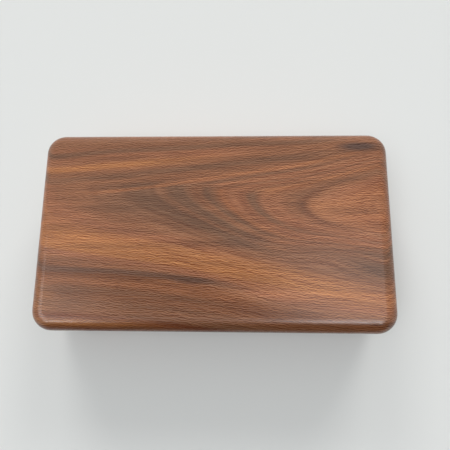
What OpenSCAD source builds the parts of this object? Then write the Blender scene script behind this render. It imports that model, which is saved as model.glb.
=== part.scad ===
// Wooden fly box: two routed hardwood halves on a pair of brass butt hinges,
// held shut by disc magnets in the front rim, each half lined with a slit foam insert.
// Frame: +Z up, origin on the table under the middle of the wooden base, front at -Y, hinges at +Y.

/* [Box] */
// Width of the box, along the hinge line
box_w = 150; // [120:1:200]
// Depth of the wooden box, front face to back face
box_d = 85; // [70:1:110]
// Height of the base, table to parting plane
base_h = 17; // [15:0.5:25]
// Height of the lid, parting plane to top
lid_h = 17; // [15:0.5:25]
// Radius of the upright corners, seen from above
corner_r = 8.5; // [7:0.5:12]
// Round-over on the outer edges of the top and the underside
edge_r = 6; // [3:0.5:7]
// Chamfer that eases the rims where the halves meet
rim_ease = 0.4; // [0.2:0.1:0.8]
// Wall left around each pocket
wall = 8; // [7:0.5:12]
// Wood left under each pocket
web_t = 4; // [3:0.5:6]
// Corner radius of the pockets, which is the router bit's
pocket_r = 5; // [3:0.5:8]

/* [Finger notch] */
// Radius of the round-nosed cutter that makes the notch
notch_r = 5; // [4:0.5:7]
// How deep the notch goes into the front face
notch_depth = 2.2; // [1.5:0.1:3]
// Straight run of the cutter
notch_run = 10; // [6:1:24]

/* [Hinges] */
// Length of each hinge
hinge_len = 25; // [18:1:32]
// From the end of the box to the near end of a hinge
hinge_inset = 20; // [14:1:24]
// Thickness of the brass leaves
leaf_t = 0.9; // [0.8:0.1:1.2]
// Wood left between a leaf and the pocket
leaf_margin = 1.6; // [1:0.1:2.5]
// Diameter of the hinge pin
pin_d = 1.4; // [1:0.1:2]
// Diameter of the pin's domed ends
pin_cap_d = 2.6; // [2.2:0.1:3]
// Height of the pin's domed ends
pin_cap_h = 0.6; // [0.4:0.1:1]
// Knuckles on each hinge
knuckles = 5; // [3:2:7]

/* [Screws] */
// Diameter of the hinge screws
screw_d = 1.6; // [1.2:0.1:2]
// Length of the hinge screws, with the head
screw_len = 8; // [6:0.5:10]
// Diameter of the countersunk heads
screw_head_d = 3; // [2.6:0.1:3.4]
// From the end of a leaf to the nearest screw
screw_inset = 4.5; // [3:0.5:6]
// Width of the driver slot
screw_slot_w = 0.5; // [0.4:0.1:0.7]
// Depth of the driver slot
screw_slot_depth = 0.35; // [0.2:0.05:0.5]

/* [Magnets] */
// Diameter of the disc magnets
magnet_d = 5; // [3:0.5:6]
// Thickness of the disc magnets
magnet_t = 3; // [2:0.5:4]
// From the end of the box to the middle of a magnet
magnet_inset = 16; // [12:1:24]
// How far a magnet lies below its rim
magnet_recess = 0.2; // [0.1:0.1:0.5]

/* [Foam inserts] */
// Thickness of the adhesive sheet under the foam
adhesive_t = 0.25; // [0.15:0.05:0.5]
// From the edge of the foam to the edge of the adhesive sheet
adhesive_inset = 1.5; // [1:0.5:4]
// Thickness of the foam between its ribs
foam_t = 2.5; // [2:0.5:4]
// Height of the foam ribs
rib_h = 4; // [3:0.5:5]
// Width of a rib at its foot
rib_w = 7; // [5:0.5:8]
// Width of a rib at its crown
rib_crown_w = 5.5; // [4:0.5:7]
// Distance from rib to rib
rib_pitch = 11; // [9:0.5:14]
// From the edge of the foam to the nearest rib
rib_margin = 2.5; // [2:0.5:5]
// Width of the slits that hold the hooks
slit_w = 0.5; // [0.3:0.1:0.8]
// Depth of the slits
slit_depth = 3; // [2:0.5:3.5]
// Distance from slit to slit
slit_pitch = 5; // [4:0.5:8]

/* [Clearances] */
// Around the foam, to the pocket's walls
foam_gap = 0.3; // [0.2:0.1:1]
// Around a leaf in its mortise
mortise_gap = 0.1; // [0.05:0.05:0.3]
// Between neighbouring knuckles
knuckle_gap = 0.15; // [0.1:0.05:0.3]
// Between the barrel and the wood, and between the barrel and the other leaf
barrel_gap = 0.2; // [0.15:0.05:0.5]
// Around the pin, in radius
pin_gap = 0.04; // [0.02:0.01:0.08]
// Around a screw, in radius
screw_gap = 0.05; // [0.02:0.01:0.1]
// Around a magnet, in radius
magnet_gap = 0.05; // [0.02:0.01:0.1]

/* [Hidden] */

$fn = 64;
left = -1;
right = 1;
past = 1;

wood = "#8a5540";
brass = "#c8a24a";
nickel = "#b9bbbd";
foam = "#e6dfcc";
film = "#d8d2b8";

pocket_w = box_w - 2 * wall;
pocket_d = box_d - 2 * wall;

knuckle_r = pin_d / 2 + pin_gap + leaf_t;
knuckle_len = hinge_len / knuckles;
barrel_y = box_d / 2 + barrel_gap + knuckle_r;
leaf_w = wall - leaf_margin;
leaf_front = box_d / 2 - leaf_w;
leaf_back = barrel_y - knuckle_r - barrel_gap;
leaf_top = leaf_t - knuckle_r;
hinge_x = box_w / 2 - hinge_inset - hinge_len / 2;

screw_x = hinge_len / 2 - screw_inset;
screw_y = box_d / 2 - leaf_w / 2;
screw_head_h = (screw_head_d - screw_d) / 2;

magnet_x = box_w / 2 - magnet_inset;
magnet_y = wall / 2 - box_d / 2;

foam_w = pocket_w - 2 * foam_gap;
foam_d = pocket_d - 2 * foam_gap;
foam_r = pocket_r - foam_gap;
rib_len = foam_w - 2 * rib_margin;
rib_count = floor((foam_d - 2 * rib_margin - rib_w) / rib_pitch) + 1;
slit_count = floor((rib_len - slit_pitch) / slit_pitch) + 1;

// Each half is drawn with its rim at z = 0 and its body below, then set on the parting plane.
module on_base() {
    translate([0, 0, base_h]) children();
}

module on_lid() {
    translate([0, 0, base_h]) mirror([0, 0, 1]) children();
}

// Rectangle with round corners, centred
module round_rect(w, d, r) {
    square([w - 2 * r, d], center = true);
    square([w, d - 2 * r], center = true);
    for (x = [left, right], y = [-1, 1])
        translate([x * (w / 2 - r), y * (d / 2 - r)]) circle(r);
}

// Upright section of a half from its middle out to one face: eased rim above, round-over below
module side_profile(reach, h) {
    polygon([[0, 0], [reach - rim_ease, 0], [reach, -rim_ease], [reach, edge_r - h], [0, edge_r - h]]);
    translate([0, -h]) square([reach - edge_r, edge_r]);
    translate([reach - edge_r, edge_r - h]) intersection() {
        circle(edge_r);
        translate([0, -edge_r]) square(edge_r);
    }
}

// One slab of the block, with the shaped edges on two opposite faces
module shaped_slab(run, reach, h) {
    rotate([90, 0, 90]) linear_extrude(run, center = true) {
        side_profile(reach, h);
        mirror([1, 0]) side_profile(reach, h);
    }
}

// Block of wood for one half, before it is routed
module blank(h) {
    shaped_slab(box_w - 2 * corner_r, box_d / 2, h);
    rotate(90) shaped_slab(box_d - 2 * corner_r, box_w / 2, h);
    for (x = [left, right], y = [-1, 1])
        translate([x * (box_w / 2 - corner_r), y * (box_d / 2 - corner_r), 0])
            rotate_extrude() side_profile(corner_r, h);
}

module pocket(h) {
    translate([0, 0, web_t - h]) linear_extrude(h) round_rect(pocket_w, pocket_d, pocket_r);
}

// Scoop across the parting line that gives a fingertip hold
module finger_notch() {
    translate([0, notch_depth - notch_r - box_d / 2, 0]) {
        rotate([0, 90, 0]) cylinder(h = notch_run, r = notch_r, center = true);
        for (x = [left, right]) translate([x * notch_run / 2, 0, 0]) sphere(notch_r);
    }
}

module mortise() {
    translate([-hinge_len / 2 - mortise_gap, leaf_front - mortise_gap, -knuckle_r])
        cube([hinge_len + 2 * mortise_gap, leaf_w + mortise_gap + past, knuckle_r + past]);
}

module at_screws() {
    for (x = [left, right]) translate([x * screw_x, screw_y, leaf_top]) children();
}

// Half outline of a countersunk screw from the rim of its head down to its tip, grown by gap
function screw_outline(gap) = [
    [screw_head_d / 2 + gap, 0],
    [screw_d / 2 + gap, -screw_head_h],
    [screw_d / 2 + gap, screw_d - screw_len],
    [0, -screw_len - gap]
];

module screw_body() {
    rotate_extrude() polygon(concat([[0, 0]], screw_outline(0)));
}

// Countersunk pilot hole, open above the head
module screw_hole() {
    rotate_extrude()
        polygon(concat([[0, past], [screw_head_d / 2 + screw_gap, past]], screw_outline(screw_gap)));
}

module at_magnet(side) {
    translate([side * magnet_x, magnet_y, -magnet_recess - magnet_t]) children();
}

// One wooden half: blank less its pocket and everything let into it
module half_shell(h) {
    color(wood) difference() {
        blank(h);
        pocket(h);
        finger_notch();
        for (side = [left, right]) {
            translate([side * hinge_x, 0, 0]) {
                mortise();
                at_screws() screw_hole();
            }
            at_magnet(side) cylinder(h = magnet_t + magnet_recess + past, r = magnet_d / 2 + magnet_gap);
        }
    }
}

// Knuckle number k along the barrel, with the tongue that rolls into it from the leaf
module knuckle(k) {
    run = knuckle_len - knuckle_gap;
    translate([(k - (knuckles - 1) / 2) * knuckle_len, 0, 0]) {
        translate([0, barrel_y, 0]) rotate([0, 90, 0]) cylinder(h = run, r = knuckle_r, center = true);
        translate([-run / 2, leaf_back - leaf_t, -knuckle_r])
            cube([run, barrel_y - leaf_back + leaf_t, leaf_t]);
    }
}

// Leaf below the parting plane, with every second knuckle from the first
module hinge_leaf(side, first) {
    color(brass) translate([side * hinge_x, 0, 0]) difference() {
        union() {
            translate([-hinge_len / 2, leaf_front, -knuckle_r])
                cube([hinge_len, leaf_back - leaf_front, leaf_t]);
            for (k = [first : 2 : knuckles - 1]) knuckle(k);
        }
        translate([0, barrel_y, 0]) rotate([0, 90, 0])
            cylinder(h = hinge_len + past, r = pin_d / 2 + pin_gap, center = true);
        at_screws() screw_hole();
    }
}

// Pin with a domed end against each outer knuckle
module hinge_pin(side) {
    seat = (hinge_len - knuckle_gap) / 2;
    dome_r = (pow(pin_cap_d / 2, 2) + pow(pin_cap_h, 2)) / (2 * pin_cap_h);
    color(brass) translate([side * hinge_x, barrel_y, base_h]) rotate([0, 90, 0]) rotate_extrude() {
        translate([0, -seat]) square([pin_d / 2, 2 * seat]);
        for (end = [0, 1]) mirror([0, end]) translate([0, seat]) intersection() {
            translate([0, pin_cap_h - dome_r]) circle(dome_r);
            square([pin_cap_d, pin_cap_h + past]);
        }
    }
}

module hinge_screws(side) {
    color(brass) translate([side * hinge_x, 0, 0]) at_screws() difference() {
        screw_body();
        translate([-screw_head_d, -screw_slot_w / 2, -screw_slot_depth])
            cube([2 * screw_head_d, screw_slot_w, screw_slot_depth + past]);
    }
}

module magnet(side) {
    color(nickel) at_magnet(side) cylinder(h = magnet_t, r = magnet_d / 2);
}

module foam_adhesive(h) {
    color(film) translate([0, 0, web_t - h]) linear_extrude(adhesive_t)
        round_rect(foam_w - 2 * adhesive_inset, foam_d - 2 * adhesive_inset, foam_r);
}

module foam_rib() {
    rotate([90, 0, 90]) linear_extrude(rib_len, center = true) polygon([
        [-rib_w / 2, 0], [rib_w / 2, 0], [rib_crown_w / 2, rib_h], [-rib_crown_w / 2, rib_h]
    ]);
}

// Foam insert: flat pad with ribs along the box, cut across by the slits that hold the hooks
module slit_foam(h) {
    color(foam) translate([0, 0, web_t + adhesive_t - h]) difference() {
        union() {
            linear_extrude(foam_t) round_rect(foam_w, foam_d, foam_r);
            for (i = [0 : rib_count - 1])
                translate([0, (i - (rib_count - 1) / 2) * rib_pitch, foam_t]) foam_rib();
        }
        for (i = [0 : slit_count - 1])
            translate([(i - (slit_count - 1) / 2) * slit_pitch, 0, foam_t + rib_h - slit_depth])
                translate([-slit_w / 2, -foam_d / 2, 0]) cube([slit_w, foam_d, slit_depth + past]);
    }
}

on_base() half_shell(base_h);  // base_shell
on_lid() half_shell(lid_h);  // lid_shell
on_base() hinge_leaf(left, 0);  // left_hinge_base_leaf
on_lid() hinge_leaf(left, 1);  // left_hinge_lid_leaf
hinge_pin(left);  // left_hinge_pin
on_base() hinge_leaf(right, 0);  // right_hinge_base_leaf
on_lid() hinge_leaf(right, 1);  // right_hinge_lid_leaf
hinge_pin(right);  // right_hinge_pin
on_base() hinge_screws(left);  // left_hinge_base_screws
on_lid() hinge_screws(left);  // left_hinge_lid_screws
on_base() hinge_screws(right);  // right_hinge_base_screws
on_lid() hinge_screws(right);  // right_hinge_lid_screws
on_base() magnet(left);  // base_left_magnet
on_base() magnet(right);  // base_right_magnet
on_lid() magnet(left);  // lid_left_magnet
on_lid() magnet(right);  // lid_right_magnet
on_base() slit_foam(base_h);  // base_foam
on_lid() slit_foam(lid_h);  // lid_foam
on_base() foam_adhesive(base_h);  // base_foam_adhesive
on_lid() foam_adhesive(lid_h);  // lid_foam_adhesive
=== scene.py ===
"""Looks of the wooden fly box: solid procedural wood, brass hinges, disc magnets and slit foam inserts."""

import math
import random

import bpy
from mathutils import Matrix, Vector


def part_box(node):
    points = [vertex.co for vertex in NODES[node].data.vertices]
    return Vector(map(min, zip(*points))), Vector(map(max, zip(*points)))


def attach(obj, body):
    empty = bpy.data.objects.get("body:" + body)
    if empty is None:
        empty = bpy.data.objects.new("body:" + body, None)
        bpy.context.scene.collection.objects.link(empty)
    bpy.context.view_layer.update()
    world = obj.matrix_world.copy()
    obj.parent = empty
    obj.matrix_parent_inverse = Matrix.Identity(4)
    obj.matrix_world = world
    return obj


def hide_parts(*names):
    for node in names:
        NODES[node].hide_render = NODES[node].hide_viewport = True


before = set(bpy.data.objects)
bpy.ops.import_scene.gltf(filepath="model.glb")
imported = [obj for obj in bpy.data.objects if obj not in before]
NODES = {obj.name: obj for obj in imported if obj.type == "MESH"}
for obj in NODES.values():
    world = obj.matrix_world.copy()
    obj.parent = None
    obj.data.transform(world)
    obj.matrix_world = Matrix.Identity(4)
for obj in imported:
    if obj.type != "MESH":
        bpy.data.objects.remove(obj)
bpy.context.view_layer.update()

MM = 0.001
LID_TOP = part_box("lid_shell")[1].z
LID_HALF_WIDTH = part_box("lid_shell")[1].x / MM
TINT_REACH = 0.4


def srgb(red, green, blue):
    """A colour as a screen shows it, 0 to 255, as the linear values that shaders take."""
    linear = []
    for level in (red, green, blue):
        c = level / 255
        linear.append(c / 12.92 if c <= 0.04045 else ((c + 0.055) / 1.055) ** 2.4)
    return (*linear, 1.0)


class Graph:
    """Short calls for building a shader's nodes. A value is a number, a colour or another node's output."""

    def __init__(self, tree):
        self.tree = tree

    def node(self, kind, **settings):
        made = self.tree.nodes.new("ShaderNode" + kind)
        for name, value in settings.items():
            setattr(made, name, value)
        return made

    def feed(self, socket, value):
        if isinstance(value, bpy.types.NodeSocket):
            self.tree.links.new(value, socket)
        else:
            socket.default_value = value

    def math(self, operation, *values, clamp=False):
        made = self.node("Math", operation=operation, use_clamp=clamp)
        for socket, value in zip(made.inputs, values):
            self.feed(socket, value)
        return made.outputs[0]

    def span(self, value, low, high, to_low=0.0, to_high=1.0, smooth=False):
        """Maps low..high to to_low..to_high, held at the ends."""
        made = self.node("MapRange", interpolation_type="SMOOTHSTEP" if smooth else "LINEAR")
        for socket, v in zip(made.inputs, (value, low, high, to_low, to_high)):
            self.feed(socket, v)
        return made.outputs[0]

    def stretched(self, place, per_mm):
        """The place in mm, scaled along each axis, for a texture with a grain."""
        made = self.node("VectorMath", operation="MULTIPLY")
        self.feed(made.inputs[0], place)
        made.inputs[1].default_value = per_mm
        return made.outputs[0]

    def noise(self, place, per_mm, detail=2.0, roughness=0.5, distortion=0.0):
        made = self.node("TexNoise")
        self.feed(made.inputs["Vector"], self.stretched(place, per_mm))
        made.inputs["Scale"].default_value = 1.0
        made.inputs["Detail"].default_value = detail
        made.inputs["Roughness"].default_value = roughness
        made.inputs["Distortion"].default_value = distortion
        return made.outputs[0]

    def moved(self, place, way, step):
        made = self.node("VectorMath", operation="MULTIPLY_ADD")
        self.feed(made.inputs[0], way)
        made.inputs[1].default_value = (step, step, step)
        self.feed(made.inputs[2], place)
        return made.outputs[0]

    def fibres(self, place, across, per_mm, step_mm):
        """Thin light and dark lines about 0: how far a fine noise stands out from both its sides."""
        before = self.noise(self.moved(place, across, -step_mm), per_mm, detail=0.0)
        behind = self.noise(self.moved(place, across, step_mm), per_mm, detail=0.0)
        sides = self.math("ADD", before, behind)
        return self.math("MULTIPLY_ADD", sides, -0.5, self.noise(place, per_mm, detail=0.0))

    def cells(self, place, per_mm):
        """Distance from the middle of the nearest of many scattered cells."""
        made = self.node("TexVoronoi")
        self.feed(made.inputs["Vector"], self.stretched(place, per_mm))
        made.inputs["Scale"].default_value = 1.0
        return made.outputs["Distance"]

    def ramp(self, value, stops):
        made = self.node("ValToRGB")
        ramp = made.color_ramp
        ramp.interpolation = "EASE"
        while len(ramp.elements) < len(stops):
            ramp.elements.new(1.0)
        for element, (position, colour) in zip(ramp.elements, stops):
            element.position = position
            element.color = colour
        self.feed(made.inputs[0], value)
        return made.outputs[0]

    def mix(self, factor, first, second, blend="MIX"):
        made = self.node("Mix", data_type="RGBA", blend_type=blend)
        self.feed(made.inputs["Factor"], factor)
        colours = [s for s in made.inputs if s.type == "RGBA"]
        self.feed(colours[0], first)
        self.feed(colours[1], second)
        return [s for s in made.outputs if s.type == "RGBA"][0]

    def tint(self, value, gains):
        """A colour about white that follows a value about 0, with a gain for red, green and blue."""
        made = self.node("CombineColor")
        for socket, gain in zip(made.inputs, gains):
            most = TINT_REACH * gain
            self.feed(socket, self.span(value, -TINT_REACH, TINT_REACH, 1 - most, 1 + most))
        return made.outputs[0]

    def place_mm(self):
        """The point on the piece in its own frame, in mm."""
        coords = self.node("TexCoord")
        made = self.node("VectorMath", operation="SCALE")
        self.feed(made.inputs[0], coords.outputs["Object"])
        made.inputs["Scale"].default_value = 1 / MM
        return made.outputs[0]

    def place(self, x, y, z):
        made = self.node("CombineXYZ")
        for socket, value in zip(made.inputs, (x, y, z)):
            self.feed(socket, value)
        return made.outputs[0]

    def facing(self):
        """The way the surface faces, in the piece's own frame."""
        return self.node("TexCoord").outputs["Normal"]

    def axes(self, vector):
        made = self.node("SeparateXYZ")
        self.feed(made.inputs[0], vector)
        return made.outputs

    def bump(self, height, distance_mm, strength=1.0):
        made = self.node("Bump")
        made.inputs["Strength"].default_value = strength
        made.inputs["Distance"].default_value = distance_mm * MM
        self.feed(made.inputs["Height"], height)
        return made.outputs[0]


def new_material(name):
    material = bpy.data.materials.new(name)
    material.use_nodes = True
    graph = Graph(material.node_tree)
    return material, graph, material.node_tree.nodes["Principled BSDF"].inputs


# Wood: both halves come from one plank, so its figure runs on from the lid into the base. The growth lines
# arch round a line along the lid and open to the right. Each is named by the x, in mm, of its arch's top.
ARCH_Y = (17.5, 9.5)
ARCH_Y_TURN = (-20.0, 45.0)
FRONT_SPREAD = 9.0
INNER_PINCH = -4.0
INNER_PINCH_TURN = (15.0, 50.0)
INNER_REACH = (-34.0, -18.0)
BACK_SPREAD = (1.5, 6.3)
BACK_SPREAD_TURN = (-10.0, 75.0)
LINES_PER_DEPTH = 10.0
FIRST_LINE = 80.0
LINE_RUN = 520.0
BACK_BLEND = (0.0, 4.0)

# Waviness of the figure: its noise per mm along each axis, and how far it shifts the figure, in mm
SWAY_SCALE = (0.014, 0.05, 0.05)
SWAY_ACROSS = 3.0
FRAY_SCALE = (0.07, 1.5, 1.5)
FRAY_ALONG = 1.4
FRAY_ACROSS = 0.4

GOLD = srgb(167, 107, 60)
TAN = srgb(152, 96, 61)
ROSE = srgb(143, 90, 60)
MID = srgb(134, 86, 57)
UMBER = srgb(124, 81, 55)
RUSSET = srgb(118, 71, 42)
EMBER = srgb(110, 59, 33)
DUSK = srgb(110, 75, 53)
DARK = srgb(96, 66, 50)
SOOT = srgb(76, 54, 46)

# Colours of the growth lines in front of the arches' middle and behind it
FRONT_BANDS = [
    (80, ROSE), (62, TAN), (42, TAN), (36.5, UMBER), (32, MID), (27, ROSE), (21, ROSE), (16, DUSK),
    (12, ROSE), (7, ROSE), (2.5, TAN), (0, UMBER), (-3, DUSK), (-5.5, UMBER), (-8, MID), (-10.5, UMBER),
    (-13.5, DUSK), (-18, DUSK), (-22.5, UMBER), (-27, DUSK), (-33, DUSK), (-44, UMBER), (-62, MID),
    (-78, ROSE), (-88, TAN), (-132, TAN), (-150, ROSE), (-165, MID), (-200, RUSSET), (-350, UMBER),
    (-384, EMBER), (-440, RUSSET),
]
BACK_BANDS = [
    (80, TAN), (60, TAN), (46, ROSE), (40, MID), (33, UMBER), (27, MID), (19, TAN), (13, MID),
    (8, ROSE), (2, UMBER), (-2, ROSE), (-7, MID), (-14, ROSE), (-24, MID), (-48, MID), (-110, MID),
    (-190, ROSE), (-300, UMBER), (-440, MID),
]

# Long streaks across the arches: y at the left end, the middle and the right end of the lid, half width,
# the x between which the streak fades in, the x between which it fades out, colour and strength
STREAKS = [
    ((30.8, 36.0, 38.5), 1.3, (-90, -80), (40, 70), DUSK, 0.85),
    ((24.5, 31.0, 37.0), 1.6, (-90, -80), (-35, 10), GOLD, 0.6),
    ((19.2, 27.0, 36.0), 1.6, (-90, -80), (30, 70), DUSK, 0.7),
    ((13.0, 21.3, 36.0), 0.8, (-60, -40), (50, 75), TAN, 0.8),
    ((10.8, 19.3, 34.0), 0.9, (-25, -5), (40, 70), DUSK, 0.6),
    ((-2.0, -14.5, -31.0), 4.2, (-90, -60), (40, 80), GOLD, 0.7),
    ((-6.5, -17.5, -33.0), 1.6, (-90, -60), (20, 70), GOLD, 0.7),
    ((-17.0, -22.5, -39.0), 1.3, (-90, -80), (-10, 25), DARK, 0.85),
    ((-21.5, -27.0, -43.0), 1.2, (-90, -80), (-20, 20), TAN, 0.5),
    ((-25.0, -30.5, -46.0), 1.3, (-90, -80), (-20, 30), DUSK, 0.5),
    ((-31.0, -35.0, -48.0), 1.2, (-90, -80), (-20, 30), DUSK, 0.4),
    ((-40.0, -41.0, -44.0), 2.5, (-90, -80), (-45, -10), GOLD, 0.6),
]
STREAK_SHIFT_PER_DEPTH = 1.4
STREAK_EDGE = (0.2, 1.5)

# Cloudy patches: middle, reach along each axis, colour and strength. The smudge lies over the streaks.
CLOUDS = [
    ((46.0, -4.0), (34.0, 13.0), ROSE, 0.5),
    ((-36.0, 9.5), (22.0, 6.5), DUSK, 0.4),
    ((13.0, -6.0), (13.0, 4.0), DARK, 0.45),
    ((-8.0, -21.8), (10.0, 1.6), SOOT, 0.5),
    ((-80.0, -29.0), (19.0, 11.0), GOLD, 0.5),
]
SMUDGE = ((62.0, 35.3), (11.0, 2.4), SOOT, 0.9)
CLOUD_EDGE = (0.3, 1.2)

# Grain: how far it leans from the length of the box, from the front to the back; the noise per mm of its
# streaks, fibres, short flecks and pores, where the light dashes of the fibres and flecks are partly painted
# glints of open pores; the veins, which follow the growth lines and fade to the left; and how strong it all
# is in red, green and blue
LEAN = (-0.07, 0.05)
LEAN_TURN = (-40.0, 40.0)
STREAK_SCALE = (0.025, 0.3, 0.3)
STREAK_GAINS = (1.2, 1.25, 1.3)
FIBRE_SCALE = (0.36, 1.9, 1.9)
FIBRE_STEP = 0.32
FIBRE_GAINS = (1.35, 1.8, 2.1)
FLECK_SCALE = (1.0, 2.2, 2.2)
FLECK_STEP = 0.28
FLECK_SHARE = 1.4
VEIN_SCALE = (0.2, 0.035, 1.0)
VEIN_SHARES = (0.28, 0.84)
VEIN_TURN = (-42.0, -12.0)
PORE_SCALE = (0.35, 1.8, 1.8)
PORE_RISE = (0.64, 0.74)
PORE_DEPTH = 0.13
PATCH_SCALE = (0.06, 0.35, 0.35)
PATCH_RISE = (0.35, 0.65)
PATCHY = (0.6, 1.3)
FIBRE_RELIEF = 0.3
GRAIN_RELIEF = 0.022
FINISH_ROUGHNESS = (0.24, 0.34)

# End grain, on the short sides of the box: how far the surface turns to the ends as it comes in and as
# the fibres are cut short, how close its growth rings lie, the share of the fibres and pores that is left,
# and how much darker it soaks up the finish
END_TURN = (0.75, 0.97)
CUT_TURN = (0.1, 0.8)
END_RINGS = 0.09
END_RELIEF = 0.2
END_SHADE = (0.8, 0.78, 0.75, 1.0)


def line_stops(bands):
    """Colour stops for bands given by their growth lines."""
    return [((FIRST_LINE - line) / LINE_RUN, colour) for line, colour in bands]


def streak_mask(g, x, y, ends, half, fade_in, fade_out, strength):
    """How far a streak covers a point, 0 to its strength."""
    left, middle, right = ends
    bend = (left + right) / 2 - middle
    slope = (right - left) / 2
    share = g.math("DIVIDE", x, LID_HALF_WIDTH)
    centre = g.math("MULTIPLY_ADD", share, g.math("MULTIPLY_ADD", share, bend, slope), middle)
    off = g.math("ABSOLUTE", g.math("SUBTRACT", y, centre))
    mask = g.span(off, STREAK_EDGE[0] * half, STREAK_EDGE[1] * half, strength, 0.0, smooth=True)
    mask = g.math("MULTIPLY", mask, g.span(x, *fade_in, smooth=True))
    return g.math("MULTIPLY", mask, g.span(x, *fade_out, 1.0, 0.0, smooth=True))


def cloud(g, figure, x, y, middle, reach, tone, strength):
    """The figure with a soft oval patch of a tone laid over it."""
    off_x = g.math("DIVIDE", g.math("SUBTRACT", x, middle[0]), reach[0])
    off_y = g.math("DIVIDE", g.math("SUBTRACT", y, middle[1]), reach[1])
    off = g.math("SQRT", g.math("MULTIPLY_ADD", off_x, off_x, g.math("MULTIPLY", off_y, off_y)))
    return g.mix(g.span(off, *CLOUD_EDGE, strength, 0.0, smooth=True), figure, tone)


def about_zero(g, place, per_mm, **settings):
    """A noise with its middle at 0."""
    return g.math("SUBTRACT", g.noise(place, per_mm, **settings), 0.5)


def make_wood():
    material, g, shader = new_material("hardwood")
    place = g.place_mm()
    x, y, z = g.axes(place)
    depth = g.math("SUBTRACT", LID_TOP / MM, z)

    sway = about_zero(g, place, SWAY_SCALE, detail=1.0)
    fray = about_zero(g, place, FRAY_SCALE, detail=3.0, roughness=0.6)
    along = g.math("MULTIPLY_ADD", fray, FRAY_ALONG, x)
    swayed = g.math("MULTIPLY_ADD", fray, FRAY_ACROSS, g.math("MULTIPLY_ADD", sway, SWAY_ACROSS, y))
    across = g.math("SUBTRACT", swayed, g.span(x, *ARCH_Y_TURN, *ARCH_Y, smooth=True))

    behind = g.math("GREATER_THAN", across, 0.0)
    pinch = g.span(x, *INNER_PINCH_TURN, smooth=True)
    pinch = g.math("MULTIPLY", pinch, g.span(across, *INNER_REACH, smooth=True))
    front_spread = g.math("MULTIPLY_ADD", pinch, INNER_PINCH, FRONT_SPREAD)
    back_spread = g.span(x, *BACK_SPREAD_TURN, *BACK_SPREAD, smooth=True)
    widening = g.math("SUBTRACT", back_spread, front_spread)
    spread = g.math("MULTIPLY_ADD", behind, widening, front_spread)
    line = g.math("SUBTRACT", along, g.math("DIVIDE", g.math("MULTIPLY", across, across), spread))
    line = g.math("MULTIPLY_ADD", depth, -LINES_PER_DEPTH, line)
    run = g.math("DIVIDE", g.math("SUBTRACT", FIRST_LINE, line), LINE_RUN)
    run = g.math("PINGPONG", run, 1.0)

    front = g.ramp(run, line_stops(FRONT_BANDS))
    back = g.ramp(run, line_stops(BACK_BANDS))
    figure = g.mix(g.span(across, *BACK_BLEND, smooth=True), front, back)
    for patch in CLOUDS:
        figure = cloud(g, figure, along, swayed, *patch)
    shifted = g.math("MULTIPLY_ADD", depth, -STREAK_SHIFT_PER_DEPTH, swayed)
    for ends, half, fade_in, fade_out, tone, strength in STREAKS:
        mask = streak_mask(g, along, shifted, ends, half, fade_in, fade_out, strength)
        figure = g.mix(mask, figure, tone)
    figure = cloud(g, figure, along, swayed, *SMUDGE)

    facing_x, facing_y, facing_z = g.axes(g.facing())
    turned = g.math("ABSOLUTE", facing_x)
    end = g.span(turned, *END_TURN, smooth=True)
    relief = g.span(turned, *CUT_TURN, 1.0, END_RELIEF, smooth=True)
    over = g.place(0.0, facing_z, g.math("MULTIPLY", facing_y, -1.0))
    lean = g.span(y, *LEAN_TURN, *LEAN)
    grain = g.place(x, g.math("SUBTRACT", y, g.math("MULTIPLY", x, lean)), z)
    streak = about_zero(g, grain, STREAK_SCALE, detail=3.0, roughness=0.6)
    # Fibres and flecks: the grain's own light and dark lines, with their light dashes partly painted glints
    # of open pores.
    fibre = g.fibres(grain, over, FIBRE_SCALE, FIBRE_STEP)
    fleck_and_glint = g.fibres(grain, over, FLECK_SCALE, FLECK_STEP)
    vein = about_zero(g, g.place(line, x, 0.0), VEIN_SCALE, detail=1.0)
    pore = g.span(g.noise(grain, PORE_SCALE, detail=0.0), *PORE_RISE)
    patchy = g.span(g.noise(grain, PATCH_SCALE, detail=1.0), *PATCH_RISE, *PATCHY)
    ring = about_zero(g, g.place(line, 0.0, 0.0), (END_RINGS, 1.0, 1.0), detail=2.0)

    coarse = g.math("MULTIPLY_ADD", g.math("SUBTRACT", ring, streak), end, streak)
    colour = g.mix(1.0, figure, g.tint(coarse, STREAK_GAINS), blend="MULTIPLY")
    texture = g.math("MULTIPLY", g.math("MULTIPLY_ADD", fleck_and_glint, FLECK_SHARE, fibre), patchy)
    texture = g.math("MULTIPLY", g.math("MULTIPLY_ADD", pore, -PORE_DEPTH, texture), relief)
    vein_share = g.span(x, *VEIN_TURN, *VEIN_SHARES, smooth=True)
    texture = g.math("MULTIPLY_ADD", vein, vein_share, texture)
    colour = g.mix(1.0, colour, g.tint(texture, FIBRE_GAINS), blend="MULTIPLY")
    colour = g.mix(end, colour, g.mix(1.0, colour, END_SHADE, blend="MULTIPLY"))

    g.feed(shader["Base Color"], colour)
    g.feed(shader["Roughness"], g.span(fibre, -0.2, 0.2, *FINISH_ROUGHNESS))
    shader["IOR"].default_value = 1.5
    height = g.math("SUBTRACT", g.math("MULTIPLY", fibre, FIBRE_RELIEF), pore)
    g.feed(shader["Normal"], g.bump(g.math("MULTIPLY", height, relief), GRAIN_RELIEF, 0.5))
    return material


def uneven(g, place, per_mm, dull, bright, **settings):
    """A tone that drifts between a dull and a bright one."""
    drift = g.noise(place, (per_mm, per_mm, per_mm), **settings)
    return g.ramp(drift, [(0.3, dull), (0.7, bright)])


def make_brass(name, dull, bright):
    """Brass with fine lines from drawing along the hinge."""
    material, g, shader = new_material(name)
    place = g.place_mm()
    grain = g.noise(place, (0.4, 9.0, 9.0), detail=2.0)
    g.feed(shader["Base Color"], uneven(g, place, 0.35, dull, bright, detail=4.0, roughness=0.6))
    g.feed(shader["Roughness"], g.span(grain, 0.3, 0.7, 0.24, 0.42))
    shader["Metallic"].default_value = 1.0
    g.feed(shader["Normal"], g.bump(grain, 0.01, 0.4))
    return material


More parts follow.
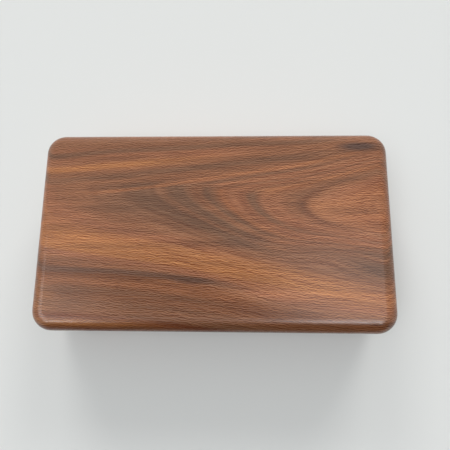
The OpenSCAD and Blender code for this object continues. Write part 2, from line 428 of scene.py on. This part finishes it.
def make_nickel(dull, bright):
    """Plated nickel with faint scratches."""
    material, g, shader = new_material("nickel")
    place = g.place_mm()
    scratch = g.noise(place, (1.0, 14.0, 1.0), detail=2.0)
    g.feed(shader["Base Color"], uneven(g, place, 0.9, dull, bright, detail=3.0))
    g.feed(shader["Roughness"], g.span(scratch, 0.3, 0.7, 0.26, 0.42))
    shader["Metallic"].default_value = 1.0
    g.feed(shader["Normal"], g.bump(scratch, 0.006, 0.4))
    return material


def make_foam(dull, bright):
    """Closed-cell foam: small round cells, with painted shade that makes it a little darker where they are
    deep.
    """
    material, g, shader = new_material("closed_cell_foam")
    place = g.place_mm()
    cell = g.cells(place, (2.4, 2.4, 2.4))
    grit = g.noise(place, (5.0, 5.0, 5.0), detail=1.0)
    tone = uneven(g, place, 0.07, dull, bright, detail=3.0)
    height = g.math("MULTIPLY_ADD", grit, 0.5, cell)
    # Painted shade: darker in the cells' hollows and a little lighter on their rims, following the bump's
    # height.
    painted_cell_shade = g.tint(g.math("SUBTRACT", height, 0.7), (0.16, 0.17, 0.2))
    g.feed(shader["Base Color"], g.mix(1.0, tone, painted_cell_shade, blend="MULTIPLY"))
    shader["Roughness"].default_value = 0.8
    g.feed(shader["Normal"], g.bump(height, 0.08, 0.6))
    return material


def make_adhesive(dull, bright):
    material, g, shader = new_material("adhesive_film")
    g.feed(shader["Base Color"], uneven(g, g.place_mm(), 0.2, dull, bright, detail=3.0))
    shader["Roughness"].default_value = 0.5
    return material


def dress(node, material):
    """Gives a CAD node this material."""
    for slot in NODES[node].material_slots:
        slot.material = material


WOOD = make_wood()
BRASS = make_brass("brass", srgb(172, 128, 62), srgb(206, 168, 96))
SCREW_BRASS = make_brass("screw_brass", srgb(146, 104, 50), srgb(178, 138, 76))
NICKEL = make_nickel(srgb(158, 159, 160), srgb(186, 186, 184))
FOAM = make_foam(srgb(206, 195, 168), srgb(222, 213, 188))
ADHESIVE = make_adhesive(srgb(206, 198, 168), srgb(222, 214, 186))

for node in NODES:
    if node.endswith("_shell"):
        dress(node, WOOD)
    elif node.endswith("_screws"):
        dress(node, SCREW_BRASS)
    elif "_hinge_" in node:
        dress(node, BRASS)
    elif node.endswith("_magnet"):
        dress(node, NICKEL)
    elif node.endswith("_adhesive"):
        dress(node, ADHESIVE)


# Foam inserts, in mm: a pad with rounded ribs along the box, cut across by the slits that hold the hooks
PAD_T = 2.5
PAD_CORNER_R = 4.7
PAD_EDGE_R = 0.5
RIB_COUNT = 6
RIB_PITCH = 11.0
RIB_H = 4.0
RIB_W = 7.0
RIB_SHOULDER_W = 5.9
RIB_CROWN_R = 1.2
RIB_FOOT_R = 0.4
RIB_FOOT_BEND = 0.1
RIB_END_MARGIN = 2.5
RIB_END_R = 1.6
SLIT_COUNT = 25
SLIT_PITCH = 5.0
SLIT_W = 0.5
SLIT_DEPTH = 3.0
SLIT_LIP = 0.55
SLIT_LIP_DROP = 0.04
SLIT_STRAY = 0.12
SLIT_SEED = 5
SHARP_ANGLE = 40


def turn_steps(first, last, step):
    """Angles from first to last degrees, in radians."""
    return [math.radians(a) for a in range(first, last + 1, step)]


def foam_rows(half_depth):
    """Rows across the ribs, from front to back: y and the height of the foam over the pad there."""
    shoulder = RIB_SHOULDER_W / 2 - RIB_CROWN_R
    half_rib = [
        (RIB_W / 2 + RIB_FOOT_R, 0.0),
        (RIB_W / 2 + RIB_FOOT_BEND, RIB_FOOT_BEND),
        (RIB_W / 2 - RIB_FOOT_BEND, RIB_FOOT_R),
    ]
    for turn in turn_steps(0, 90, 15):
        across = shoulder + RIB_CROWN_R * math.cos(turn)
        half_rib.append((across, RIB_H + RIB_CROWN_R * (math.sin(turn) - 1)))
    half_rib.append((0.0, RIB_H))
    edge = half_depth - PAD_CORNER_R
    border = [(edge + PAD_CORNER_R * math.sin(turn), 0.0) for turn in turn_steps(30, 90, 6)]
    rows = [(-y, height) for y, height in reversed(border)]
    for k in range(RIB_COUNT):
        middle = (k - (RIB_COUNT - 1) / 2) * RIB_PITCH
        rows += [(middle - across, height) for across, height in half_rib]
        rows += [(middle + across, height) for across, height in reversed(half_rib[:-1])]
    return rows + border


def foam_columns(half_width):
    """Columns along the ribs, left to right: x, the share of the rib's height and its greatest height."""
    rib_end = half_width - RIB_END_MARGIN - RIB_END_R
    edge = half_width - PAD_CORNER_R
    ends = []
    for turn in turn_steps(0, 90, 15):
        ends.append((rib_end + RIB_END_R * math.sin(turn), math.cos(turn), RIB_H))
    for turn in turn_steps(36, 90, 6):
        ends.append((edge + PAD_CORNER_R * math.sin(turn), 0.0, RIB_H))
    columns = [(-x, share, most) for x, share, most in reversed(ends)]
    stray = random.Random(SLIT_SEED)
    half_slit = [
        (SLIT_PITCH * 0.4, 1.0, RIB_H),
        (SLIT_LIP * 1.6, 1.0, RIB_H),
        (SLIT_LIP, 1 - SLIT_LIP_DROP / 4, RIB_H),
        (SLIT_W / 2, 1 - SLIT_LIP_DROP, RIB_H),
        (SLIT_W * 0.4, 1.0, RIB_H - SLIT_DEPTH),
    ]
    for k in range(SLIT_COUNT):
        middle = (k - (SLIT_COUNT - 1) / 2) * SLIT_PITCH + stray.uniform(-SLIT_STRAY, SLIT_STRAY)
        columns += [(middle - off, share, most) for off, share, most in half_slit]
        columns += [(middle + off, share, most) for off, share, most in reversed(half_slit)]
    return columns + ends


def edge_drop(x, y, half_width, half_depth):
    """How far the rounded edge of the pad lies below its top at a point."""
    past_x = abs(x) - (half_width - PAD_CORNER_R)
    past_y = abs(y) - (half_depth - PAD_CORNER_R)
    if past_x > 0 and past_y > 0:
        inside = PAD_CORNER_R - math.hypot(past_x, past_y)
    else:
        inside = PAD_CORNER_R - max(past_x, past_y)
    reach = min(max(PAD_EDGE_R - inside, 0.0), PAD_EDGE_R)
    return PAD_EDGE_R - math.sqrt(PAD_EDGE_R ** 2 - reach ** 2)


def make_insert(name, node, body, facing):
    """A closed foam insert in the place of a CAD node, its ribs up (facing 1) or down (facing -1)."""
    low, high = [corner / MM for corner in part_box(node)]
    half_width = (high.x - low.x) / 2
    half_depth = (high.y - low.y) / 2
    back = low.z if facing > 0 else high.z
    rows = foam_rows(half_depth)
    columns = foam_columns(half_width)
    across, down = len(columns), len(rows)

    points = []
    for y, rib in rows:
        past = max(abs(y) - (half_depth - PAD_CORNER_R), 0.0)
        narrow = PAD_CORNER_R - math.sqrt(max(PAD_CORNER_R ** 2 - past ** 2, 0.0))
        for x, share, most in columns:
            x *= 1 - narrow / half_width
            height = PAD_T + min(rib * share, most) - edge_drop(x, y, half_width, half_depth)
            points.append((x, y, back + facing * height))

    faces = []
    for r in range(down - 1):
        for c in range(across - 1):
            corner = r * across + c
            faces.append((corner, corner + 1, corner + across + 1, corner + across))
    rim = list(range(across))
    rim += [r * across + across - 1 for r in range(1, down)]
    rim += [(down - 1) * across + c for c in range(across - 2, -1, -1)]
    rim += [r * across for r in range(down - 2, 0, -1)]
    foot = [len(points) + i for i in range(len(rim))]
    points += [(points[i][0], points[i][1], back) for i in rim]
    for i in range(len(rim)):
        faces.append((foot[i - 1], foot[i], rim[i], rim[i - 1]))
    faces.append(tuple(reversed(foot)))
    if facing < 0:
        faces = [tuple(reversed(face)) for face in faces]

    mesh = bpy.data.meshes.new(name)
    mesh.from_pydata([(x * MM, y * MM, z * MM) for x, y, z in points], [], faces)
    mesh.shade_smooth()
    mesh.set_sharp_from_angle(angle=math.radians(SHARP_ANGLE))
    mesh.materials.append(FOAM)
    insert = bpy.data.objects.new(name, mesh)
    bpy.context.collection.objects.link(insert)
    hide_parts(node)
    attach(insert, body)


make_insert("base_foam_insert", "base_foam", "base", 1)
make_insert("lid_foam_insert", "lid_foam", "lid", -1)


# Camera: a phone held just in front of the box, looking almost straight down
CAMERA_LENS = 33.28
CAMERA_SENSOR = 36.0
CAMERA_PLACE = (10.82 * MM, -33.59 * MM, LID_TOP + 169.23 * MM)
CAMERA_TURN = (11.576, 1.856, 0.508)

camera_data = bpy.data.cameras.new("camera")
camera_data.lens = CAMERA_LENS
camera_data.sensor_width = CAMERA_SENSOR
camera_data.clip_start = 0.01
camera = bpy.data.objects.new("camera", camera_data)
camera.location = CAMERA_PLACE
camera.rotation_euler = [math.radians(a) for a in CAMERA_TURN]
bpy.context.collection.objects.link(camera)
bpy.context.scene.camera = camera


# Stage, in m: a pale floor in a pale room, lit by a dome that is brighter above and behind and by three
# soft suns. The cards only show in reflections. Pale ones give the highlights on the edges. The dark ones
# are a flag in front, an apron on the floor before the box, and the phone over it.
FLOOR_SIZE = 40.0
FLOOR_TONE = srgb(222, 223, 222)
ROOM_LEVEL = 0.775
ROOM_TONE = (0.98, 1.0, 0.99, 1.0)
DOME_LEVELS = (0.1, 0.6)
DOME_LEAN = (-0.2, 0.5)
DOME_RISE = (0.2, 1.0)
WARM = (1.0, 0.99, 0.97)
COOL = (0.96, 0.98, 1.0)
FLAG_TOP = (0.6, 2.2)
FLAG_FOOT = (1.5, 0.0)
FLAG_TURN = (-130, -35)
APRON_NEAR = (0.1, 0.003)
APRON_FAR = (1.5, 0.003)
APRON_TURN = (-130, -50)
PHONE_SIZE = (0.15, 0.072)
PHONE_PLACE = (-0.034, -0.027, LID_TOP + 0.175)
DARK_TONE = srgb(30, 28, 27)

# Suns: place, spread in degrees, strength and colour
SUNS = {
    "back_left_sun": ((-0.8, 2.7, 1.2), 26, 1.2, WARM),
    "back_right_sun": ((1.0, 2.6, 1.2), 26, 1.2, WARM),
    "top_sun": ((-0.7, -0.45, 2.4), 40, 1.2, COOL),
}

# Pale cards: place, width and height, watts and colour
CARDS = {
    "front_right_card": ((0.37, -0.52, 1.04), (0.36, 0.4), 4.6, COOL),
    "front_left_card": ((-0.58, -0.74, 0.8), (0.2, 0.16), 2.2, WARM),
    "right_sheen_card": ((0.34, -0.06, 1.05), (0.4, 0.4), 1.0, COOL),
    "left_sheen_card": ((-0.85, -0.3, 1.0), (0.7, 0.6), 5.5, COOL),
}


def make_floor():
    half = FLOOR_SIZE / 2
    mesh = bpy.data.meshes.new("floor")
    corners = [(-half, -half, 0), (half, -half, 0), (half, half, 0), (-half, half, 0)]
    mesh.from_pydata(corners, [], [(0, 1, 2, 3)])
    floor = bpy.data.objects.new("floor", mesh)
    bpy.context.collection.objects.link(floor)
    material, _, shader = new_material("pale_paper")
    shader["Base Color"].default_value = FLOOR_TONE
    shader["Roughness"].default_value = 0.9
    shader["Specular IOR Level"].default_value = 0.0
    mesh.materials.append(material)


def make_dark_card(name, points, faces):
    """A dark card that only shows in reflections."""
    mesh = bpy.data.meshes.new(name)
    mesh.from_pydata(points, [], faces)
    card = bpy.data.objects.new(name, mesh)
    bpy.context.collection.objects.link(card)
    material, _, shader = new_material(name)
    shader["Base Color"].default_value = DARK_TONE
    shader["Roughness"].default_value = 0.9
    mesh.materials.append(material)
    card.visible_camera = False
    card.visible_diffuse = False
    card.visible_shadow = False


def make_arc_card(name, inner, outer, turn):
    """A dark card round part of the box, from one radius and height to another."""
    turns = turn_steps(*turn, 5)
    points = []
    for radius, height in (inner, outer):
        points += [(radius * math.cos(a), radius * math.sin(a), height) for a in turns]
    count = len(turns)
    make_dark_card(name, points, [(i, i + 1, count + i + 1, count + i) for i in range(count - 1)])


def make_phone():
    """A card the size of the phone that holds the camera."""
    half_x, half_y = PHONE_SIZE[0] / 2, PHONE_SIZE[1] / 2
    corners = [(-half_x, -half_y), (half_x, -half_y), (half_x, half_y), (-half_x, half_y)]
    points = [(PHONE_PLACE[0] + x, PHONE_PLACE[1] + y, PHONE_PLACE[2]) for x, y in corners]
    make_dark_card("phone", points, [(0, 1, 2, 3)])


def aim_at_box(lamp, place):
    way = Vector((0.0, 0.0, LID_TOP)) - Vector(place)
    lamp.location = place
    lamp.rotation_euler = way.to_track_quat("-Z", "Y").to_euler()


def make_sun(name, place, spread, strength, colour):
    """An even soft light from one side, spread over so many degrees, that no surface mirrors."""
    data = bpy.data.lights.new(name, "SUN")
    data.angle = math.radians(spread)
    data.energy = strength
    data.color = colour
    lamp = bpy.data.objects.new(name, data)
    aim_at_box(lamp, place)
    lamp.visible_glossy = False
    bpy.context.collection.objects.link(lamp)


def make_card(name, place, size, watts, colour):
    """A pale card that only shows in reflections."""
    data = bpy.data.lights.new(name, "AREA")
    data.shape = "RECTANGLE"
    data.size, data.size_y = size
    data.energy = watts
    data.color = colour
    lamp = bpy.data.objects.new(name, data)
    aim_at_box(lamp, place)
    lamp.visible_camera = False
    lamp.visible_diffuse = False
    bpy.context.collection.objects.link(lamp)


def make_world():
    world = bpy.data.worlds.new("studio")
    bpy.context.scene.world = world
    world.use_nodes = True
    g = Graph(world.node_tree)
    background = world.node_tree.nodes["Background"]
    x, y, z = g.axes(g.node("TexCoord").outputs["Generated"])
    lift = g.math("MULTIPLY_ADD", x, DOME_LEAN[0], g.math("MULTIPLY_ADD", y, DOME_LEAN[1], z))
    dome = g.span(lift, *DOME_RISE, *DOME_LEVELS, smooth=True)
    rays = g.node("LightPath").outputs
    seen = g.math("ADD", rays["Is Camera Ray"], rays["Is Glossy Ray"])
    seen = g.math("ADD", seen, rays["Is Transmission Ray"], clamp=True)
    g.feed(background.inputs["Strength"], g.span(seen, 0.0, 1.0, dome, ROOM_LEVEL))
    background.inputs["Color"].default_value = ROOM_TONE


make_floor()
make_arc_card("flag", FLAG_TOP, FLAG_FOOT, FLAG_TURN)
make_arc_card("apron", APRON_NEAR, APRON_FAR, APRON_TURN)
make_phone()
make_world()
for name, (place, spread, strength, colour) in SUNS.items():
    make_sun(name, place, spread, strength, colour)
for name, (place, size, watts, colour) in CARDS.items():
    make_card(name, place, size, watts, colour)

bpy.context.scene.view_settings.view_transform = "Standard"
